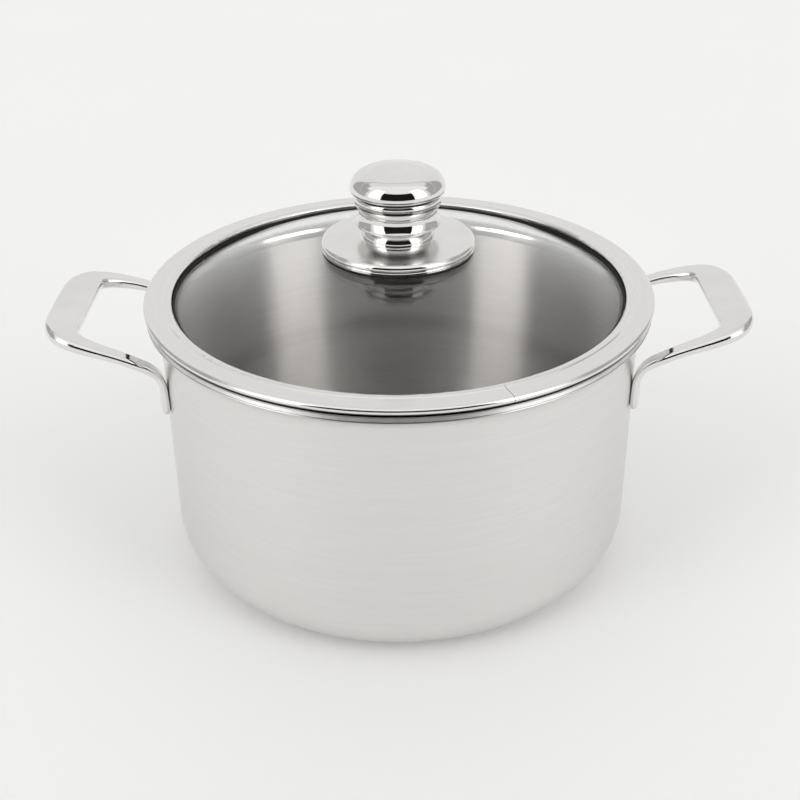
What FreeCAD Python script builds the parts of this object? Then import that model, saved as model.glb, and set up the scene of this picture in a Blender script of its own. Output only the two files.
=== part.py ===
import FreeCAD, Part
import math
import os
import re
import Sketcher

# Lidded cooking pot with two loop handles, modelled in millimetres.
# +Z is up, the origin is the centre of the base, and the handles lie along +X and -X.

# ---------------------------------------------------------------------------
# Driving dimensions (millimetres and degrees)
# ---------------------------------------------------------------------------

DIMENSIONS = {
    # pot wall, from the outside in
    "pot_radius": 120.0,
    "corner_radius": 23.5,
    "skin_ply": 0.6,
    "core_ply": 1.5,
    "liner_ply": 0.6,
    # pouring lip: an arc that starts at the straight wall and curls outward
    "flare_start": 126.9,
    "flare_radius": 9.8,
    "flare_angle": 67.0,
    # handles
    "foot_reach": 116.2,
    "foot_span": 36.9,
    "foot_bottom": 91.6,
    "foot_width": 9.0,
    "foot_thickness": 3.8,
    "arm_span": 42.2,
    "bar_corner": 0.46,
    "arm_width": 8.2,
    "arm_thickness": 4.2,
    "corner_span": 33.4,
    "corner_thickness": 6.4,
    "grip_reach": 165.4,
    "grip_height": 132.5,
    "grip_width": 18.0,
    "grip_thickness": 5.6,
    "grip_tilt": 12.0,
    # glass dome
    "dome_radius": 267.0,
    "dome_top": 164.7,
    "glass_thickness": 4.2,
    "glass_radius": 116.3,
    "glass_hole": 5.2,
    # lid rim
    "rim_sheet": 0.8,
    "rim_inner": 113.0,
    "rim_foot": 140.5,
    "bead_radius": 3.2,
    "bead_end": 117.6,
    "band_height": 143.2,
    "band_end": 125.0,
    "band_drop": 0.2,
    "hem_radius": 1.7,
    "hem_outer": 125.9,
    "hem_inner": 123.4,
    "hem_bottom": 139.9,
    "seat_gap": 0.3,
    "seat_angle": 57.0,
    "web_angle": 50.0,
    "skirt_length": 0.9,
    # seal ring
    "seal_inner": 111.4,
    "seal_outer": 117.5,
    "seal_lip": 0.65,
    "seal_foot": 133.2,
    # knob base
    "base_radius": 37.8,
    "base_bottom": 163.1,
    "base_top": 168.9,
    "base_fall": 0.7,
    "base_sheet": 1.0,
    "bead_line": 1.3,
    "bead_groove": 0.35,
    "edge_round": 2.2,
    "edge_break": 0.5,
    "pedestal_radius": 17.8,
    "pedestal_top": 175.0,
    "pedestal_round": 5.4,
    "gasket_width": 4.7,
    # screw stack through the glass
    "screw_radius": 3.0,
    "screw_top": 187.5,
    "screw_head": 6.0,
    "screw_head_height": 3.4,
    "washer_radius": 10.0,
    "washer_sheet": 1.0,
    "stack_clearance": 0.1,
    "bush_flange": 9.0,
    "bush_rise": 0.9,
    "spacer_radius": 6.0,
    # knob
    "knob_gap": 0.6,
    "knob_sheet": 1.0,
    "lip_radius": 20.8,
    "lip_height": 1.7,
    "neck_radius": 18.9,
    "neck_sweep": 8.3,
    "ring_radius": 21.3,
    "ring_foot": 19.6,
    "ring_sweep": 9.0,
    "ring_hole": 15.5,
    "ring_line": 183.6,
    "ring_round": 2.4,
    "ring_top": 191.4,
    "cap_radius": 23.3,
    "cap_middle": 193.8,
    "cap_bottom": 192.2,
    "cap_round": 8.6,
    "cap_top": 203.6,
    "crown_radius": 15.2,
    "crown_drop": 1.6,
    "cap_sheet": 1.0,
    "insert_radius": 5.5,
    "running_gap": 0.05,
}

document = FreeCAD.newDocument("StockPot")
sheet = document.addObject("Spreadsheet::Sheet", "Sizes")
for row, (name, value) in enumerate(DIMENSIONS.items(), start=1):
    sheet.set("A%d" % row, name)
    sheet.set("B%d" % row, str(value))
    sheet.setAlias("B%d" % row, name)
document.recompute()

ALIAS = re.compile("|".join(r"\b%s\b" % name for name in DIMENSIONS))


def bind(text):
    """An expression over the sheet's aliases, as another object must spell it."""
    return ALIAS.sub(lambda found: "Sizes." + found.group(0), text)


def size(text):
    """The present value of an expression over the sheet's aliases."""
    return float(sheet.evalExpression(text))


# ---------------------------------------------------------------------------
# Sketch and body helpers
# ---------------------------------------------------------------------------

def new_body(label):
    body = document.addObject("PartDesign::Body", "Body_" + label)
    body.Label = label
    return body


def plane_of(body, role):
    for feature in body.Origin.OriginFeatures:
        if feature.Role == role:
            return feature
    raise ValueError(role)


def new_sketch(body, role, name, offset=None):
    sketch = body.newObject("Sketcher::SketchObject", name)
    sketch.AttachmentSupport = [(plane_of(body, role), "")]
    sketch.MapMode = "FlatFace"
    if offset is not None:
        sketch.AttachmentOffset = offset
    return sketch


def arc_between(start, end, radius, side):
    """The shorter arc from start to end; side is +1 when it bulges left of the chord."""
    chord = end - start
    half = chord.Length / 2.0
    left = FreeCAD.Vector(-chord.y, chord.x, 0).normalize()
    rise = math.sqrt(max(radius * radius - half * half, 0.0))
    centre = (start + end) * 0.5 - left * (side * rise)
    circle = Part.Circle(centre, FreeCAD.Vector(0, 0, 1), radius)
    first = math.atan2(start.y - centre.y, start.x - centre.x)
    last = math.atan2(end.y - centre.y, end.x - centre.x)
    if side > 0:
        return Part.ArcOfCircle(circle, last, first if first > last else first + 2 * math.pi)
    return Part.ArcOfCircle(circle, first, last if last > first else last + 2 * math.pi)


def draw_loop(sketch, corners):
    """Draw a closed loop of lines and arcs, every corner and radius bound to the sheet.

    A corner is (across, up), reached by a line, or (across, up, radius, side), reached by an
    arc. The first corner's line comes from the last one.
    """
    points = [FreeCAD.Vector(size(corner[0]), size(corner[1]), 0) for corner in corners]
    tails = []
    for index, corner in enumerate(corners):
        start = points[index - 1]
        end = points[index]
        if len(corner) == 2:
            edge = sketch.addGeometry(Part.LineSegment(start, end), False)
            tails.append((edge, 1, 2))
        else:
            radius = size(corner[2])
            edge = sketch.addGeometry(arc_between(start, end, radius, corner[3]), False)
            tails.append((edge, 2, 1) if corner[3] > 0 else (edge, 1, 2))
    for index, corner in enumerate(corners):
        edge, head, tail = tails[index]
        previous = tails[index - 1]
        sketch.addConstraint(Sketcher.Constraint("Coincident", previous[0], previous[2], edge, head))
        place_point(sketch, edge, tail, corner[0], corner[1], points[index])
        if len(corner) > 2:
            number = sketch.addConstraint(Sketcher.Constraint("Radius", edge, size(corner[2])))
            sketch.setExpression("Constraints[%d]" % number, bind(corner[2]))


def place_point(sketch, edge, end, across, up, point):
    """Hold one end of an edge at two bound distances from the sketch's origin."""
    if across == "0":
        sketch.addConstraint(Sketcher.Constraint("PointOnObject", edge, end, -2))
    else:
        number = sketch.addConstraint(Sketcher.Constraint("DistanceX", -1, 1, edge, end, point.x))
        sketch.setExpression("Constraints[%d]" % number, bind(across))
    if up == "0":
        sketch.addConstraint(Sketcher.Constraint("PointOnObject", edge, end, -1))
    else:
        number = sketch.addConstraint(Sketcher.Constraint("DistanceY", -1, 1, edge, end, point.y))
        sketch.setExpression("Constraints[%d]" % number, bind(up))


def revolved(label, corners):
    """A body turned about Z from one closed section; corners are (radius, height)."""
    body = new_body(label)
    sketch = new_sketch(body, "XZ_Plane", label + "_section")
    draw_loop(sketch, corners)
    feature = body.newObject("PartDesign::Revolution", label + "_turned")
    feature.Profile = sketch
    feature.ReferenceAxis = (sketch, ["V_Axis"])
    feature.Angle = 360.0
    document.recompute()
    return body


# ---------------------------------------------------------------------------
# Pot
# ---------------------------------------------------------------------------

def lip_corner(depth):
    """Where the lip's edge is cut, at a depth in from the outer face of the wall."""
    across = "pot_radius + flare_radius - (flare_radius + %s) * cos(flare_angle)" % depth
    up = "flare_start + (flare_radius + %s) * sin(flare_angle)" % depth
    return across, up


def wall_ply(label, outside, inside):
    """One bonded ply of the pot, between two depths in from the outer face."""
    outer_lip = lip_corner(outside)
    inner_lip = lip_corner(inside)
    return revolved(label, [
        ("0", outside),
        ("pot_radius - corner_radius", outside),
        ("pot_radius - %s" % outside, "corner_radius", "corner_radius - %s" % outside, -1),
        ("pot_radius - %s" % outside, "flare_start"),
        (outer_lip[0], outer_lip[1], "flare_radius + %s" % outside, 1),
        inner_lip,
        ("pot_radius - %s" % inside, "flare_start", "flare_radius + %s" % inside, -1),
        ("pot_radius - %s" % inside, "corner_radius"),
        ("pot_radius - corner_radius", inside, "corner_radius - %s" % inside, 1),
        ("0", inside),
    ])


def pot_plies():
    skin = "skin_ply"
    core = "(skin_ply + core_ply)"
    liner = "(skin_ply + core_ply + liner_ply)"
    return [
        wall_ply("pot_outer_skin", "0", skin),
        wall_ply("pot_aluminium_core", skin, core),
        wall_ply("pot_inner_liner", core, liner),
    ]


# ---------------------------------------------------------------------------
# Handles
# ---------------------------------------------------------------------------

def handle_stations():
    """Section centres and sizes of one handle's loop, from a foot's tip to the middle of the grip.

    Each is (reach from the pot's axis, half span, height, width, thickness).
    """
    width = "arm_width"
    thickness = "arm_thickness"
    return [
        ("foot_reach", "foot_span", "foot_bottom", "foot_width - 2.6", "foot_thickness - 1.4"),
        ("foot_reach", "foot_span", "foot_bottom + 2.4", "foot_width", "foot_thickness"),
        ("foot_reach", "foot_span", "foot_bottom + 10", "foot_width", "foot_thickness"),
        ("foot_reach + 0.4", "foot_span + 0.2", "foot_bottom + 16", "foot_width - 0.3", "foot_thickness"),
        ("foot_reach + 2.9", "foot_span + 1.2", "foot_bottom + 22.2", "foot_width - 0.5", "foot_thickness"),
        ("foot_reach + 9", "arm_span - 1.4", "foot_bottom + 28", width, thickness),
        ("grip_reach - 32", "arm_span - 0.8", "grip_height - 8.8", width, thickness),
        ("grip_reach - 20", "arm_span - 2", "grip_height - 5.1", width + " + 1.2", thickness + " + 0.8"),
        ("grip_reach - 10.5", "corner_span + 4.3", "grip_height - 2.7", width + " + 3", thickness + " + 1.6"),
        ("grip_reach - 4.4", "corner_span + 0.5", "grip_height - 1.3", width + " + 5.4", "corner_thickness"),
        ("grip_reach - 1", "corner_span - 7", "grip_height - 0.3", "grip_width - 1.8", "corner_thickness"),
        ("grip_reach - 0.1", "corner_span / 2 - 3", "grip_height", "grip_width - 0.2", "grip_thickness"),
        ("grip_reach", "0", "grip_height", "grip_width", "grip_thickness"),
    ]


def handle_points():
    """The loop's stations in order, front foot to back foot, as centre, side of the grip, sizes."""
    half = handle_stations()
    ordered = [(-1, station) for station in half] + [(1, station) for station in reversed(half[:-1])]
    rows = []
    for sign, station in ordered:
        centre = FreeCAD.Vector(size(station[0]), sign * size(station[1]), size(station[2]))
        rows.append((centre, sign, station))
    return rows


def rounded_section(sketch, width_text, thickness_text):
    """A flat bar's section with full round corners, centred on the sketch's origin."""
    width = size(width_text)
    thickness = size(thickness_text)
    corner = size("bar_corner") * thickness
    across = width / 2.0 - corner
    up = thickness / 2.0 - corner
    normal = FreeCAD.Vector(0, 0, 1)
    centres = [(across, -up), (across, up), (-across, up), (-across, -up)]
    starts = [
        ((across + corner, -up), (across + corner, up)),
        ((across, up + corner), (-across, up + corner)),
        ((-across - corner, up), (-across - corner, -up)),
        ((-across, -up - corner), (across, -up - corner)),
    ]
    lines = []
    arcs = []
    for index in range(4):
        first, last = starts[index]
        line = Part.LineSegment(FreeCAD.Vector(first[0], first[1], 0), FreeCAD.Vector(last[0], last[1], 0))
        lines.append(sketch.addGeometry(line, False))
        centre = centres[(index + 1) % 4]
        circle = Part.Circle(FreeCAD.Vector(centre[0], centre[1], 0), normal, corner)
        begin = index * math.pi / 2.0
        arcs.append(sketch.addGeometry(Part.ArcOfCircle(circle, begin, begin + math.pi / 2.0), False))
    for index in range(4):
        sketch.addConstraint(Sketcher.Constraint("Tangent", lines[index], 2, arcs[index], 1))
        sketch.addConstraint(Sketcher.Constraint("Tangent", arcs[index], 2, lines[(index + 1) % 4], 1))
        kind = "Vertical" if index % 2 == 0 else "Horizontal"
        sketch.addConstraint(Sketcher.Constraint(kind, lines[index]))
    for index in range(1, 4):
        sketch.addConstraint(Sketcher.Constraint("Equal", arcs[0], arcs[index]))
    sketch.addConstraint(Sketcher.Constraint("Symmetric", lines[0], 1, lines[2], 1, -1, 1))
    limits = [
        ("DistanceX", lines[2], 1, lines[0], 1, width_text),
        ("DistanceY", lines[3], 1, lines[1], 1, thickness_text),
    ]
    for kind, first, first_end, last, last_end, text in limits:
        limit = Sketcher.Constraint(kind, first, first_end, last, last_end, size(text))
        number = sketch.addConstraint(limit)
        sketch.setExpression("Constraints[%d]" % number, bind(text))
    number = sketch.addConstraint(Sketcher.Constraint("Radius", arcs[0], corner))
    sketch.setExpression("Constraints[%d]" % number, bind("bar_corner * (%s)" % thickness_text))


def section_turn(before, after, centre, sign):
    """Turn of a section square to the loop, its width level with the tilted grip."""
    along = (after - before).normalize()
    tilt = math.radians(size("grip_tilt"))
    level = FreeCAD.Vector(-math.sin(tilt), 0, math.cos(tilt))
    side = level.cross(along)
    if abs(along.z) > 0.8:
        side = FreeCAD.Vector(centre.y, -centre.x, 0) * sign
    side = (side - along * side.dot(along)).normalize()
    return FreeCAD.Rotation(side, along.cross(side), along, "ZXY")


def handle(label, heading):
    """One cast handle: a bar lofted from a foot on the wall, round the grip, to the other foot."""
    body = new_body(label)
    rows = handle_points()
    sketches = []
    for index, (centre, sign, station) in enumerate(rows):
        before = rows[max(index - 1, 0)][0]
        after = rows[min(index + 1, len(rows) - 1)][0]
        place = FreeCAD.Placement(centre, section_turn(before, after, centre, sign))
        sketch = new_sketch(body, "XY_Plane", "%s_section_%02d" % (label, index), place)
        sketch.setExpression("AttachmentOffset.Base.x", bind(station[0]))
        sketch.setExpression("AttachmentOffset.Base.y", "%d * (%s)" % (sign, bind(station[1])))
        sketch.setExpression("AttachmentOffset.Base.z", bind(station[2]))
        rounded_section(sketch, station[3], station[4])
        sketches.append(sketch)
    document.recompute()
    loft = body.newObject("PartDesign::AdditiveLoft", label + "_loop")
    loft.Profile = sketches[0]
    loft.Sections = sketches[1:]
    loft.Ruled = False
    document.recompute()
    body.Placement = FreeCAD.Placement(FreeCAD.Vector(), FreeCAD.Rotation(FreeCAD.Vector(0, 0, 1), heading))
    return body


# ---------------------------------------------------------------------------
# Lid
# ---------------------------------------------------------------------------

def dome_height(radius, depth="0"):
    """Height of the glass at a radius, at a depth below its outer face."""
    return "dome_top - dome_radius + sqrt((dome_radius - %s)^2 - (%s)^2)" % (depth, radius)


def lid_glass():
    inner = "(dome_radius - glass_thickness)"
    return revolved("lid_glass", [
        ("glass_hole", dome_height("glass_hole", "glass_thickness")),
        ("glass_radius", dome_height("glass_radius", "glass_thickness"), inner, 1),
        ("glass_radius", dome_height("glass_radius")),
        ("glass_hole", dome_height("glass_hole"), "dome_radius", -1),
    ])


def lid_seal():
    """A ring of C section that wraps the edge of the glass."""
    lip_end = "(seal_inner + 0.5)"
    outer_lip = "(seal_outer - 1)"
    return revolved("lid_seal", [
        ("seal_inner", dome_height("seal_inner")),
        ("glass_radius", dome_height("glass_radius"), "dome_radius", 1),
        ("glass_radius", dome_height("glass_radius", "glass_thickness")),
        ("glass_radius - 4.5", dome_height("glass_radius - 4.5", "glass_thickness"),
         "dome_radius - glass_thickness", -1),
        ("glass_radius - 4.5", "seal_foot + 0.4"),
        ("glass_radius - 4", "seal_foot"),
        ("seal_outer - 0.6", "seal_foot"),
        ("seal_outer", "seal_foot + 0.6"),
        ("seal_outer", dome_height("seal_outer") + " + seal_lip"),
        (lip_end, dome_height(lip_end) + " + seal_lip", "dome_radius + seal_lip", -1),
    ])


def lid_rim():
    """The roll-formed band: inner bead, flat band, outer hem, seat on the lip and skirt."""
    across = "pot_radius + flare_radius - (flare_radius + skin_ply + core_ply + liner_ply + seat_gap"
    up = "flare_start + (flare_radius + skin_ply + core_ply + liner_ply + seat_gap"
    seat = "(flare_radius + skin_ply + core_ply + liner_ply + seat_gap)"
    web = "(flare_radius + skin_ply + core_ply + liner_ply + seat_gap + rim_sheet)"
    skirt = "(pot_radius - skin_ply - core_ply - liner_ply - seat_gap)"
    return revolved("lid_rim", [
        ("rim_inner", "rim_foot"),
        ("rim_inner", "band_height - 0.8"),
        ("bead_end", "band_height", "bead_radius", 1),
        ("band_end", "band_height - band_drop"),
        ("hem_outer", "hem_bottom", "hem_radius", 1),
        ("hem_inner", "hem_bottom"),
        (across + ") * cos(seat_angle)", up + ") * sin(seat_angle)"),
        (skirt, "flare_start", seat, -1),
        (skirt, "flare_start - skirt_length"),
        (skirt + " - rim_sheet", "flare_start - skirt_length"),
        (skirt + " - rim_sheet", "flare_start"),
        (across + " + rim_sheet) * cos(web_angle)", up + " + rim_sheet) * sin(web_angle)", web, 1),
        ("hem_inner - 1.8", "band_height - band_drop / 2 - rim_sheet"),
        ("bead_end + 0.1", "band_height - rim_sheet"),
        ("rim_inner + rim_sheet", "band_height - 1.0", "bead_radius - rim_sheet", -1),
        ("rim_inner + rim_sheet", "rim_foot"),
    ])


# ---------------------------------------------------------------------------
# Knob base and the screw stack through the glass
# ---------------------------------------------------------------------------

def knob_base():
    """A thin drawn foot: a broad, faintly coned disc and a round-shouldered boss with a screw hole."""
    hole = "(screw_radius + 0.4)"
    edge_top = "(base_top - base_fall)"
    skirt = "(base_radius - base_sheet - 0.6)"
    boss_top = "(pedestal_radius - pedestal_round)"
    inner = "(pedestal_radius - base_sheet)"
    inner_round = "(pedestal_round - base_sheet)"
    return revolved("knob_base", [
        (skirt, "base_bottom"),
        ("base_radius - edge_break", "base_bottom"),
        ("base_radius", "base_bottom + edge_break", "edge_break", -1),
        ("base_radius", "base_bottom + bead_line"),
        ("base_radius - bead_groove", "base_bottom + bead_line + bead_groove"),
        ("base_radius", "base_bottom + bead_line + 2 * bead_groove"),
        ("base_radius", edge_top + " - edge_round"),
        ("base_radius - edge_round", edge_top, "edge_round", -1),
        ("pedestal_radius + edge_break", "base_top"),
        ("pedestal_radius", "base_top + edge_break", "edge_break", 1),
        ("pedestal_radius", "pedestal_top - pedestal_round"),
        (boss_top, "pedestal_top", "pedestal_round", -1),
        (hole, "pedestal_top"),
        (hole, "pedestal_top - base_sheet"),
        (boss_top, "pedestal_top - base_sheet"),
        (inner, "pedestal_top - pedestal_round", inner_round, 1),
        (inner, "base_top - base_sheet"),
        ("base_radius - 3", edge_top + " - base_sheet"),
        (skirt, edge_top + " - base_sheet - 1.4", "1.4", -1),
    ])


def knob_base_gasket():
    """A flat silicone ring, coned to lie on the glass under the edge of the knob base."""
    outer = "(base_radius - 0.3)"
    inner = "(base_radius - 0.3 - gasket_width)"
    return revolved("knob_base_gasket", [
        (inner, dome_height(inner) + " + 0.02"),
        (outer, dome_height(outer) + " + 0.02"),
        (outer, "base_bottom"),
        (inner, "base_bottom"),
    ])


def glass_bush():
    """A rubber top-hat bush that keeps the screw and the spacer off the glass."""
    bore = "(screw_radius + stack_clearance)"
    return revolved("glass_bush", [
        (bore, "dome_top - glass_thickness + 0.3"),
        ("glass_hole - stack_clearance", "dome_top - glass_thickness + 0.3"),
        ("glass_hole - stack_clearance", "dome_top"),
        ("bush_flange", "dome_top"),
        ("bush_flange", "dome_top + bush_rise"),
        (bore, "dome_top + bush_rise"),
    ])


def spacer_tube():
    bore = "(screw_radius + stack_clearance)"
    return revolved("spacer_tube", [
        (bore, "dome_top + bush_rise"),
        ("spacer_radius", "dome_top + bush_rise"),
        ("spacer_radius", "pedestal_top - base_sheet"),
        (bore, "pedestal_top - base_sheet"),
    ])


def washer(label, outer, top, bottom):
    """A flat washer on the screw with both outer edges broken."""
    bore = "(screw_radius + stack_clearance)"
    return revolved(label, [
        (bore, bottom),
        (outer + " - 0.2", bottom),
        (outer, bottom + " + 0.2"),
        (outer, top + " - 0.2"),
        (outer + " - 0.2", top),
        (bore, top),
    ])


def under_glass():
    """Heights of the washers and of the screw head below the glass."""
    glass = "dome_top - glass_thickness - 0.2"
    rubber = glass + " - washer_sheet"
    steel = rubber + " - washer_sheet"
    return glass, rubber, steel


def knob_screw():
    head_top = under_glass()[2]
    head_low = head_top + " - screw_head_height"
    body = revolved("knob_screw", [
        ("0", head_low),
        ("screw_head - 1", head_low),
        ("screw_head", head_low + " + 1", "1", -1),
        ("screw_head", head_top),
        ("screw_radius", head_top),
        ("screw_radius", "screw_top - 0.6"),
        ("screw_radius - 0.6", "screw_top"),
        ("0", "screw_top"),
    ])
    # hexagonal key socket in the underside of the head
    drop = FreeCAD.Placement(FreeCAD.Vector(0, 0, size(head_low)), FreeCAD.Rotation())
    sketch = new_sketch(body, "XY_Plane", "knob_screw_socket_sketch", drop)
    sketch.setExpression("AttachmentOffset.Base.z", bind(head_low))
    before = body.Shape.Volume
    across = size("screw_radius * 0.8")
    corners = []
    for index in range(6):
        turn = math.radians(60.0 * index)
        corners.append(FreeCAD.Vector(across * math.cos(turn), across * math.sin(turn), 0))
    sides = []
    for index in range(6):
        sides.append(sketch.addGeometry(Part.LineSegment(corners[index - 1], corners[index]), False))
    guide = sketch.addGeometry(Part.Circle(FreeCAD.Vector(), FreeCAD.Vector(0, 0, 1), across), True)
    sketch.addConstraint(Sketcher.Constraint("Coincident", guide, 3, -1, 1))
    for index in range(6):
        sketch.addConstraint(Sketcher.Constraint("Coincident", sides[index - 1], 2, sides[index], 1))
        sketch.addConstraint(Sketcher.Constraint("PointOnObject", sides[index], 2, guide))
    for index in range(1, 6):
        sketch.addConstraint(Sketcher.Constraint("Equal", sides[0], sides[index]))
    sketch.addConstraint(Sketcher.Constraint("PointOnObject", sides[0], 2, -1))
    number = sketch.addConstraint(Sketcher.Constraint("Radius", guide, across))
    sketch.setExpression("Constraints[%d]" % number, bind("screw_radius * 0.8"))
    pocket = body.newObject("PartDesign::Pocket", "knob_screw_socket")
    pocket.Profile = sketch
    pocket.Type = "Length"
    pocket.Reversed = True
    pocket.Length = 2.0
    pocket.setExpression("Length", bind("screw_head_height * 0.6"))
    document.recompute()
    if before - body.Shape.Volume < 1.0:
        raise RuntimeError("the socket cuts nothing")
    return body


# ---------------------------------------------------------------------------
# Knob
# ---------------------------------------------------------------------------

def knob_collar():
    """The knob's neck: a flared lip, a swept waist, and a round-shouldered ring above it."""
    floor = "(pedestal_top + knob_gap)"
    inner = "(neck_radius - knob_sheet)"
    shoulder = "(ring_radius - ring_round)"
    return revolved("knob_collar", [
        ("insert_radius", floor),
        ("lip_radius - 0.6", floor),
        ("lip_radius", floor + " + 0.6", "0.6", -1),
        ("lip_radius", floor + " + lip_height - 0.3"),
        ("lip_radius - 0.3", floor + " + lip_height"),
        ("neck_radius", "ring_line - 0.4", "neck_sweep", 1),
        ("ring_foot - 0.2", "ring_line - 0.1"),
        ("ring_foot", "ring_line + 0.1"),
        ("ring_radius", "ring_top - ring_round", "ring_sweep", -1),
        (shoulder, "ring_top", "ring_round", -1),
        ("ring_hole", "ring_top"),
        ("ring_hole", "ring_top - knob_sheet"),
        (inner + " + 1.6", "ring_top - knob_sheet"),
        (inner, "ring_line"),
        (inner, floor + " + knob_sheet"),
        ("insert_radius", floor + " + knob_sheet"),
    ])


def cap_arc(radius, drop):
    """Radius of the sphere that drops by an amount from the axis out to a radius."""
    return "((%s)^2 + (%s)^2) / (2 * (%s))" % (radius, drop, drop)


def knob_cap():
    """A flattened dome with a round shoulder and a rolled-in edge, open below for the core."""
    inner = "(cap_radius - cap_sheet)"
    inner_crown = "(crown_radius - 0.3)"
    return revolved("knob_cap", [
        ("cap_radius - 0.9", "cap_bottom"),
        ("cap_radius", "cap_middle", "2", -1),
        ("crown_radius", "cap_top - crown_drop", "cap_round", -1),
        ("0", "cap_top", cap_arc("crown_radius", "crown_drop"), -1),
        ("0", "cap_top - cap_sheet"),
        (inner_crown, "cap_top - crown_drop - cap_sheet", cap_arc(inner_crown, "crown_drop"), 1),
        (inner, "cap_middle", "cap_round - cap_sheet", 1),
        ("cap_radius - 2", "cap_bottom"),
    ])


def knob_core():
    """The moulded core that fills the collar, shows as a dark line above it and carries the cap."""
    low = "(pedestal_top + knob_gap + knob_sheet + 0.05)"
    inner = "(neck_radius - knob_sheet - 0.05)"
    throat = "(ring_hole - 0.05)"
    plate = "(cap_radius - 2.8)"
    return revolved("knob_core", [
        ("insert_radius", low),
        (inner, low),
        (inner, "ring_top - ring_round - 0.5"),
        (throat, "ring_top - knob_sheet - 0.6"),
        (throat, "ring_top + 0.3"),
        (plate + " - 2", "cap_bottom + 0.4"),
        (plate, "cap_bottom + 0.8"),
        (plate, "cap_middle"),
        ("crown_radius - 1.5", "cap_top - crown_drop - cap_sheet - 0.9"),
        ("0", "cap_top - cap_sheet - 1"),
        ("0", "screw_top + 1.8"),
        ("insert_radius", "screw_top + 1.8"),
    ])


def knob_insert():
    """The threaded insert that runs on the screw; its mouth stands just above the pedestal."""
    bore = "(screw_radius + running_gap)"
    low = "(pedestal_top + 0.3)"
    return revolved("knob_insert", [
        (bore, low),
        ("insert_radius - 0.3", low),
        ("insert_radius", low + " + 0.3"),
        ("insert_radius", "screw_top + 1.4"),
        (bore, "screw_top + 1.4"),
    ])


# ---------------------------------------------------------------------------
# Assembly, checks and export
# ---------------------------------------------------------------------------

glass_face, rubber_face, steel_face = under_glass()

parts = pot_plies() + [
    handle("handle_right", 0.0),
    handle("handle_left", 180.0),
    lid_rim(),
    lid_seal(),
    lid_glass(),
    knob_base(),
    knob_base_gasket(),
    glass_bush(),
    spacer_tube(),
    washer("glass_washer_silicone", "washer_radius", glass_face, rubber_face),
    washer("screw_washer_steel", "washer_radius - 1", rubber_face, steel_face),
    knob_screw(),
    knob_collar(),
    knob_cap(),
    knob_core(),
    knob_insert(),
]
document.recompute()

for item in document.Objects:
    if "Invalid" in item.State or "Error" in item.State:
        raise RuntimeError("%s did not rebuild: %s" % (item.Label, item.State))
for part in parts:
    if part.Shape.isNull() or not part.Shape.isValid():
        raise RuntimeError("%s has no valid shape" % part.Label)

os.makedirs("parts", exist_ok=True)
for part in parts:
    part.Shape.exportStep("parts/%s.step" % part.Label)
    print("%-24s %8.1f mm3, %d solid(s)" % (part.Label, part.Shape.Volume, len(part.Shape.Solids)))
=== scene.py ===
import math

import bpy
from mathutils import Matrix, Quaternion, Vector

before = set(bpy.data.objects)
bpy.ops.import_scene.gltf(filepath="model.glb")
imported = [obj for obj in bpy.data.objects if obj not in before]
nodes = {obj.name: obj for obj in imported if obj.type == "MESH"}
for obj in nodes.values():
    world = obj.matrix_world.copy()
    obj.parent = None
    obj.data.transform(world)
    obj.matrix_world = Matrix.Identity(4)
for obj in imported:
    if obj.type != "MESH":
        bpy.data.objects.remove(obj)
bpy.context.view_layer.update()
MM = 0.001


# ---------------------------------------------------------------------------
# Node helpers
# ---------------------------------------------------------------------------

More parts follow.
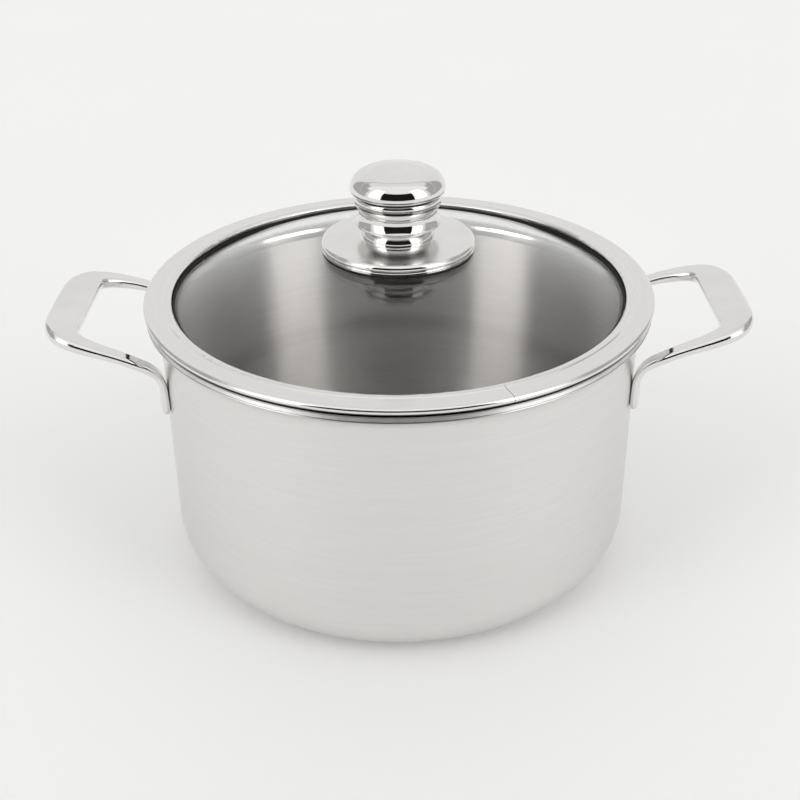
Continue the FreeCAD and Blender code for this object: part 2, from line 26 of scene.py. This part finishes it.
class Tree:
    """A node tree with short calls for the nodes this scene needs."""

    def __init__(self, tree):
        self.tree = tree
        self.tree.nodes.clear()

    def node(self, kind, **settings):
        made = self.tree.nodes.new(kind)
        for name, value in settings.items():
            setattr(made, name, value)
        return made

    def join(self, source, target):
        self.tree.links.new(source, target)

    def feed(self, value, target):
        """Links a socket, or sets a plain value."""
        if isinstance(value, bpy.types.NodeSocket):
            self.join(value, target)
        else:
            target.default_value = value

    def math(self, operation, first, second=0.0):
        made = self.node("ShaderNodeMath", operation=operation)
        self.feed(first, made.inputs[0])
        self.feed(second, made.inputs[1])
        return made.outputs[0]

    def ramp(self, value, low, high, out_low=0.0, out_high=1.0):
        """A smooth step from out_low to out_high as value goes from low to high."""
        made = self.node("ShaderNodeMapRange", interpolation_type="SMOOTHSTEP")
        self.feed(value, made.inputs["Value"])
        self.feed(low, made.inputs["From Min"])
        self.feed(high, made.inputs["From Max"])
        self.feed(out_low, made.inputs["To Min"])
        self.feed(out_high, made.inputs["To Max"])
        return made.outputs["Result"]

    def mix(self, share, first, second):
        made = self.node("ShaderNodeMix", data_type="RGBA")
        self.feed(share, made.inputs["Factor"])
        for colour, socket in ((first, made.inputs[6]), (second, made.inputs[7])):
            self.feed(colour, socket)
        return made.outputs[2]

    def noise(self, vector, scale, detail=2.0, roughness=0.5):
        made = self.node("ShaderNodeTexNoise")
        self.feed(vector, made.inputs["Vector"])
        made.inputs["Scale"].default_value = scale
        made.inputs["Detail"].default_value = detail
        made.inputs["Roughness"].default_value = roughness
        return made.outputs["Fac"]

    def place(self):
        """The point in the part's own frame, in metres."""
        return self.node("ShaderNodeTexCoord").outputs["Object"]

    def polar(self):
        """Distance from the axis, height, and the level direction away from the axis."""
        parts = self.node("ShaderNodeSeparateXYZ")
        self.join(self.place(), parts.inputs[0])
        level = self.node("ShaderNodeCombineXYZ")
        self.join(parts.outputs[0], level.inputs[0])
        self.join(parts.outputs[1], level.inputs[1])
        length = self.node("ShaderNodeVectorMath", operation="LENGTH")
        self.join(level.outputs[0], length.inputs[0])
        heading = self.node("ShaderNodeVectorMath", operation="NORMALIZE")
        self.join(level.outputs[0], heading.inputs[0])
        return length.outputs["Value"], parts.outputs[2], heading.outputs[0]

    def turned(self, around, across):
        """Coordinates whose noise is drawn out into lines around Z.

        around is how many features fit a radian, across how many fit a metre of the section.
        """
        radius, height, heading = self.polar()
        section = self.math("ADD", self.math("MULTIPLY", height, 0.83), self.math("MULTIPLY", radius, 0.55))
        parts = self.node("ShaderNodeSeparateXYZ")
        self.join(heading, parts.inputs[0])
        out = self.node("ShaderNodeCombineXYZ")
        self.join(self.math("MULTIPLY", parts.outputs[0], around), out.inputs[0])
        self.join(self.math("MULTIPLY", parts.outputs[1], around), out.inputs[1])
        self.join(self.math("MULTIPLY", section, across), out.inputs[2])
        return out.outputs[0]

    def bump(self, height, depth, below=None):
        """A bump whose full height is depth, in metres."""
        made = self.node("ShaderNodeBump")
        made.inputs["Strength"].default_value = 1.0
        made.inputs["Distance"].default_value = depth
        self.join(height, made.inputs["Height"])
        if below is not None:
            self.join(below, made.inputs["Normal"])
        return made.outputs[0]


def material(name):
    made = bpy.data.materials.new(name)
    made.use_nodes = True
    tree = Tree(made.node_tree)
    shader = tree.node("ShaderNodeBsdfPrincipled")
    output = tree.node("ShaderNodeOutputMaterial")
    tree.join(shader.outputs[0], output.inputs["Surface"])
    return made, tree, shader.inputs


# ---------------------------------------------------------------------------
# Materials
# ---------------------------------------------------------------------------

# painted shade in the crevice between the lid's hem and the pot's lip, which light hardly reaches
CREVICE_SHADE = (0.012, 0.010, 0.009, 1)
HEM_FOOT = 139.9 * MM
HEM_INNER = 123.4 * MM
LIP_TOP = 137.3 * MM
# the butt joint in the lid's band: its heading round the axis, where it starts and how wide it is
SEAM_HEADING = math.radians(-67.5)
SEAM_START = 116.4 * MM
SEAM_HALF = (0.08 * MM, 0.2 * MM)
SEAM_SHADE = 0.7
# the lathe-finished ring on top of the knob's foot, between its boss and its edge
SATIN_INNER = (18.2 * MM, 20.5 * MM)
SATIN_OUTER = (34.5 * MM, 36.2 * MM)
SATIN_ROUGH = 0.16


def hem_shade_and_seam(tree):
    """Share of dark on the lid's band: painted shade in the crevice under its hem, and the butt joint
    across it.
    """
    radius, height, _ = tree.polar()
    parts = tree.node("ShaderNodeSeparateXYZ")
    tree.join(tree.place(), parts.inputs[0])
    across = tree.math("SUBTRACT", tree.math("MULTIPLY", parts.outputs[0], math.sin(SEAM_HEADING)),
                       tree.math("MULTIPLY", parts.outputs[1], math.cos(SEAM_HEADING)))
    out = tree.math("ADD", tree.math("MULTIPLY", parts.outputs[0], math.cos(SEAM_HEADING)),
                    tree.math("MULTIPLY", parts.outputs[1], math.sin(SEAM_HEADING)))
    seam = tree.math("MULTIPLY", tree.ramp(tree.math("ABSOLUTE", across), *SEAM_HALF, 1.0, 0.0),
                     tree.ramp(out, SEAM_START, SEAM_START + 0.5 * MM, 0.0, SEAM_SHADE))
    # painted shade: the band is darkened under the hem, where shade falls
    crevice = tree.math("MULTIPLY", tree.ramp(height, HEM_FOOT + 0.5 * MM, HEM_FOOT + 1.1 * MM, 1.0, 0.0),
                        tree.ramp(radius, HEM_INNER - 2.2 * MM, HEM_INNER - 1.4 * MM))
    return tree.math("MAXIMUM", crevice, seam)


def lip_shade(tree):
    """Share of dark on the pot's wall: painted shade on the edge of the lip under the lid's hem."""
    return tree.ramp(tree.polar()[1], LIP_TOP - 1.3 * MM, LIP_TOP - 0.7 * MM)


def brushed_steel(name, light, dark, rough, polish, groove, shaded=None):
    """Stainless steel finished on a lathe: fine lines around Z, with faint smudges."""
    made, tree, shader = material(name)
    fine = tree.noise(tree.turned(6.0, 2600.0), 1.0, 3.0, 0.7)
    broad = tree.noise(tree.turned(2.5, 700.0), 1.0, 2.0, 0.6)
    smudge = tree.noise(tree.place(), 28.0, 4.0, 0.6)
    share = tree.math("ADD", tree.math("MULTIPLY", fine, 0.6), tree.math("MULTIPLY", broad, 0.4))
    tone = tree.ramp(share, 0.25, 0.75)
    shader["Metallic"].default_value = 1.0
    shader["Anisotropic"].default_value = polish
    shader["Anisotropic Rotation"].default_value = 0.25
    colour = tree.mix(tone, dark, light)
    # painted shade: where the shaded mask says, the steel colour is darkened towards the crevice colour
    if shaded is not None:
        colour = tree.mix(shaded(tree), colour, CREVICE_SHADE)
    tree.join(colour, shader["Base Color"])
    worn = tree.math("ADD", tree.math("MULTIPLY", broad, 0.03), tree.math("MULTIPLY", smudge, 0.05))
    tree.join(tree.math("ADD", worn, rough - 0.04), shader["Roughness"])
    tree.join(tree.bump(fine, groove), shader["Normal"])
    tangent = tree.node("ShaderNodeTangent", direction_type="RADIAL", axis="Z")
    tree.join(tangent.outputs[0], shader["Tangent"])
    return made


def mirror_steel(name, light, dark, rough):
    """Polished stainless steel: a mirror with hairline marks and a little handling haze."""
    made, tree, shader = material(name)
    lines = tree.noise(tree.turned(5.0, 3800.0), 1.0, 2.0, 0.6)
    haze = tree.noise(tree.place(), 60.0, 4.0, 0.6)
    shader["Metallic"].default_value = 1.0
    tree.join(tree.mix(tree.ramp(haze, 0.3, 0.7), dark, light), shader["Base Color"])
    marks = tree.math("ADD", tree.math("MULTIPLY", haze, 0.05), tree.math("MULTIPLY", lines, 0.03))
    tree.join(tree.math("ADD", marks, rough - 0.04), shader["Roughness"])
    tree.join(tree.bump(lines, 0.0000012), shader["Normal"])
    return made


def knob_foot_steel(name, light, dark, rough):
    """The knob's foot: mirror polished, but for the lathe-finished ring of its top face."""
    made, tree, shader = material(name)
    radius = tree.polar()[0]
    lines = tree.noise(tree.turned(5.0, 3000.0), 1.0, 2.0, 0.6)
    haze = tree.noise(tree.place(), 60.0, 4.0, 0.6)
    satin = tree.math("MULTIPLY", tree.ramp(radius, *SATIN_INNER),
                      tree.ramp(radius, *SATIN_OUTER, 1.0, 0.0))
    shader["Metallic"].default_value = 1.0
    tree.join(tree.mix(tree.ramp(haze, 0.3, 0.7), dark, light), shader["Base Color"])
    marks = tree.math("ADD", tree.math("MULTIPLY", haze, 0.04), tree.math("MULTIPLY", satin, SATIN_ROUGH))
    tree.join(tree.math("ADD", marks, rough - 0.02), shader["Roughness"])
    tree.join(tree.bump(lines, 0.0000012), shader["Normal"])
    return made


def cast_steel(name, light, dark, rough):
    """Cast and hand-polished steel: soft waviness under the polish, without lines."""
    made, tree, shader = material(name)
    wave = tree.noise(tree.place(), 90.0, 2.0, 0.5)
    grain = tree.noise(tree.place(), 1400.0, 3.0, 0.6)
    haze = tree.noise(tree.place(), 40.0, 4.0, 0.6)
    shader["Metallic"].default_value = 1.0
    tree.join(tree.mix(tree.ramp(haze, 0.3, 0.7), dark, light), shader["Base Color"])
    worn = tree.math("ADD", tree.math("MULTIPLY", haze, 0.06), tree.math("MULTIPLY", grain, 0.04))
    tree.join(tree.math("ADD", worn, rough - 0.05), shader["Roughness"])
    tree.join(tree.bump(grain, 0.000002, tree.bump(wave, 0.00002)), shader["Normal"])
    return made


def clear_glass(name):
    """Tempered glass, clear with the least grey-green, and a few wiping marks."""
    made, tree, shader = material(name)
    wipes = tree.noise(tree.place(), 34.0, 5.0, 0.65)
    specks = tree.noise(tree.place(), 700.0, 2.0, 0.5)
    shader["IOR"].default_value = 1.5
    shader["Transmission Weight"].default_value = 1.0
    tree.join(tree.mix(wipes, (0.975, 0.98, 0.978, 1), (0.985, 0.99, 0.988, 1)), shader["Base Color"])
    dull = tree.math("ADD", tree.math("MULTIPLY", wipes, 0.008), tree.math("MULTIPLY", specks, 0.004))
    tree.join(dull, shader["Roughness"])
    return made


def rubber(name, light, dark, rough):
    """Moulded silicone: dark and dull, with a fine grain and dust in it."""
    made, tree, shader = material(name)
    grain = tree.noise(tree.place(), 2400.0, 3.0, 0.6)
    dust = tree.noise(tree.place(), 160.0, 4.0, 0.7)
    tree.join(tree.mix(tree.ramp(dust, 0.35, 0.75), dark, light), shader["Base Color"])
    tree.join(tree.ramp(grain, 0.3, 0.7, rough - 0.06, rough + 0.06), shader["Roughness"])
    shader["Specular IOR Level"].default_value = 0.25
    tree.join(tree.bump(grain, 0.00001), shader["Normal"])
    return made


def matt_metal(name, light, dark, rough):
    """Plain mill-finish metal where nobody looks: fine grain and a little staining."""
    made, tree, shader = material(name)
    grain = tree.noise(tree.place(), 1800.0, 3.0, 0.6)
    stain = tree.noise(tree.place(), 120.0, 4.0, 0.6)
    shader["Metallic"].default_value = 1.0
    tree.join(tree.mix(tree.ramp(stain, 0.3, 0.7), dark, light), shader["Base Color"])
    tree.join(tree.ramp(grain, 0.3, 0.7, rough - 0.05, rough + 0.05), shader["Roughness"])
    tree.join(tree.bump(grain, 0.000004), shader["Normal"])
    return made


STEEL_LIGHT = (0.80, 0.785, 0.775, 1)
STEEL_DARK = (0.75, 0.735, 0.72, 1)
LINER_LIGHT = (0.60, 0.575, 0.55, 1)
LINER_DARK = (0.52, 0.495, 0.47, 1)
CHROME_LIGHT = (0.82, 0.81, 0.80, 1)
CHROME_DARK = (0.78, 0.77, 0.76, 1)

finishes = {
    # the pot's skin and the lid's band get painted shade where the lid's hem meets the lip
    "pot_outer_skin": brushed_steel("pot_steel", STEEL_LIGHT, STEEL_DARK, 0.30, 0.5, 0.000002, lip_shade),
    "pot_inner_liner": brushed_steel("liner_steel", LINER_LIGHT, LINER_DARK, 0.44, 1.0, 0.000002),
    "pot_aluminium_core": matt_metal("core_aluminium", (0.8, 0.8, 0.81, 1), (0.7, 0.7, 0.71, 1), 0.4),
    "lid_rim": brushed_steel("rim_steel", CHROME_LIGHT, CHROME_DARK, 0.15, 0.5, 0.000002, hem_shade_and_seam),
    "lid_seal": rubber("seal_rubber", (0.016, 0.014, 0.013, 1), (0.006, 0.006, 0.006, 1), 0.55),
    "lid_glass": clear_glass("lid_glass"),
    "knob_base": knob_foot_steel("knob_foot_steel", CHROME_LIGHT, CHROME_DARK, 0.05),
    "knob_cap": mirror_steel("knob_steel", CHROME_LIGHT, CHROME_DARK, 0.05),
    "knob_base_gasket": rubber("gasket_rubber", (0.04, 0.04, 0.04, 1), (0.015, 0.015, 0.015, 1), 0.5),
    "knob_core": rubber("core_plastic", (0.06, 0.06, 0.06, 1), (0.03, 0.03, 0.03, 1), 0.45),
    "knob_insert": matt_metal("insert_brass", (0.86, 0.66, 0.35, 1), (0.7, 0.5, 0.24, 1), 0.3),
    "knob_screw": mirror_steel("screw_steel", CHROME_LIGHT, CHROME_DARK, 0.16),
    "handle_right": cast_steel("handle_steel", CHROME_LIGHT, CHROME_DARK, 0.09),
}
same_as = {
    "handle_left": "handle_right",
    "glass_bush": "knob_base_gasket",
    "glass_washer_silicone": "knob_base_gasket",
    "spacer_tube": "knob_screw",
    "screw_washer_steel": "knob_screw",
    "knob_collar": "knob_cap",
}
for name, node in nodes.items():
    finish = finishes[same_as.get(name, name)]
    for place in node.material_slots:
        place.material = finish


# ---------------------------------------------------------------------------
# Floor, light and camera
# ---------------------------------------------------------------------------

FLOOR_HALF = 6.0
FLOOR_DARK = (0.85, 0.85, 0.85, 1)
FLOOR_LIGHT = (0.87, 0.87, 0.87, 1)
FLOOR_GLOW = 0.13

# brightness of the studio's parts, where 1 is as bright as white paper in the light:
# first as the room sees them, then as the inside of the pot sees them through the lid's glass
TENT = (0.86, 0.12)
OVERHEAD = (1.0, 0.08)
SIDE_BOX = (2.2, 10.0)
SIDE_WALL = (0.45, 0.15)
STRIP = (0.6, 0.10)
GAP = (0.012, 0.012)
# what the camera itself sees past the edge of the floor
BACKDROP = 0.86

LENS = 55.03
SENSOR = 36.0
CAMERA_DISTANCE = 0.648
CAMERA_PITCH = math.radians(29.82)
CAMERA_ROLL = math.radians(-0.65)
CAMERA_AIM = Vector((0, 0, 0.07533))


def floor():
    """A pale table top, far wider than the view."""
    half = FLOOR_HALF
    mesh = bpy.data.meshes.new("floor")
    corners = [(-half, -half, 0), (half, -half, 0), (half, half, 0), (-half, half, 0)]
    mesh.from_pydata(corners, [], [(0, 1, 2, 3)])
    piece = bpy.data.objects.new("floor", mesh)
    bpy.context.scene.collection.objects.link(piece)
    made, tree, shader = material("floor_paint")
    tone = tree.noise(tree.place(), 3.0, 2.0, 0.5)
    tree.join(tree.mix(tone, FLOOR_DARK, FLOOR_LIGHT), shader["Base Color"])
    shader["Emission Color"].default_value = (1, 1, 1, 1)
    shader["Emission Strength"].default_value = FLOOR_GLOW
    shader["Roughness"].default_value = 0.9
    shader["Specular IOR Level"].default_value = 0.1
    mesh.materials.append(made)


def studio():
    """A pale tent with soft boxes at both sides and overhead, and a dark gap where the camera looks in.

    Directions are in degrees: aside is the level angle from the front, to either side, elevation
    is the height above level, and over is the angle from the back up over the top to the front.
    """
    world = bpy.data.worlds.new("studio")
    bpy.context.scene.world = world
    world.use_nodes = True
    tree = Tree(world.node_tree)
    parts = tree.node("ShaderNodeSeparateXYZ")
    tree.join(tree.node("ShaderNodeTexCoord").outputs["Generated"], parts.inputs[0])
    across, along, rise = parts.outputs
    forward = tree.math("MULTIPLY", along, -1.0)
    aside = tree.math("DEGREES", tree.math("ABSOLUTE", tree.math("ARCTAN2", across, forward)))
    elevation = tree.math("DEGREES", tree.math("ARCSINE", rise))
    over = tree.math("DEGREES", tree.math("ARCTAN2", rise, along))

    def window(first, first_range, second, second_range, soft):
        """1 where both angles are inside their ranges, in degrees, with a soft edge."""
        made = 1.0
        for angle, (low, high) in ((first, first_range), (second, second_range)):
            made = tree.math("MULTIPLY", made, tree.ramp(angle, low - soft, low))
            made = tree.math("MULTIPLY", made, tree.ramp(angle, high, high + soft, 1.0, 0.0))
        return made

    path = tree.node("ShaderNodeLightPath").outputs

    def seen(levels):
        """The first level, or the second for light that has come through the lid's glass twice."""
        return tree.ramp(path["Transmission Depth"], 2.5, 3.5, levels[0], levels[1])

    level = seen(TENT)
    for share, light in (
        (window(aside, (86, 130), elevation, (-10, 45), 8), SIDE_WALL),
        (window(over, (54, 57), aside, (-10, 190), 2), STRIP),
        (window(over, (84, 130), elevation, (40, 91), 5), OVERHEAD),
        (window(aside, (46, 68), elevation, (8, 50), 7), SIDE_BOX),
        (window(aside, (-10, 39), elevation, (3, 42), 3), GAP),
    ):
        blend = tree.node("ShaderNodeMix", data_type="FLOAT")
        tree.feed(share, blend.inputs[0])
        tree.feed(level, blend.inputs[2])
        tree.feed(seen(light), blend.inputs[3])
        level = blend.outputs[0]
    backdrop = tree.node("ShaderNodeMix", data_type="FLOAT")
    tree.join(path["Is Camera Ray"], backdrop.inputs[0])
    tree.join(level, backdrop.inputs[2])
    backdrop.inputs[3].default_value = BACKDROP
    light = tree.node("ShaderNodeBackground")
    light.inputs["Color"].default_value = (1.0, 0.997, 0.99, 1)
    tree.join(backdrop.outputs[0], light.inputs["Strength"])
    output = tree.node("ShaderNodeOutputWorld")
    tree.join(light.outputs[0], output.inputs["Surface"])


def camera():
    """In front and above, looking down by about 30 degrees at the middle of the pot."""
    data = bpy.data.cameras.new("camera")
    data.sensor_width = SENSOR
    data.lens = LENS
    piece = bpy.data.objects.new("camera", data)
    back = Vector((0, -math.cos(CAMERA_PITCH), math.sin(CAMERA_PITCH)))
    piece.location = CAMERA_AIM + back * CAMERA_DISTANCE
    piece.rotation_mode = "QUATERNION"
    turn = (-back).to_track_quat("-Z", "Y")
    piece.rotation_quaternion = turn @ Quaternion((0, 0, 1), CAMERA_ROLL)
    data.clip_start = 0.01
    data.clip_end = 50.0
    bpy.context.scene.collection.objects.link(piece)
    bpy.context.scene.camera = piece


floor()
studio()
camera()
bpy.context.scene.view_settings.view_transform = "Standard"
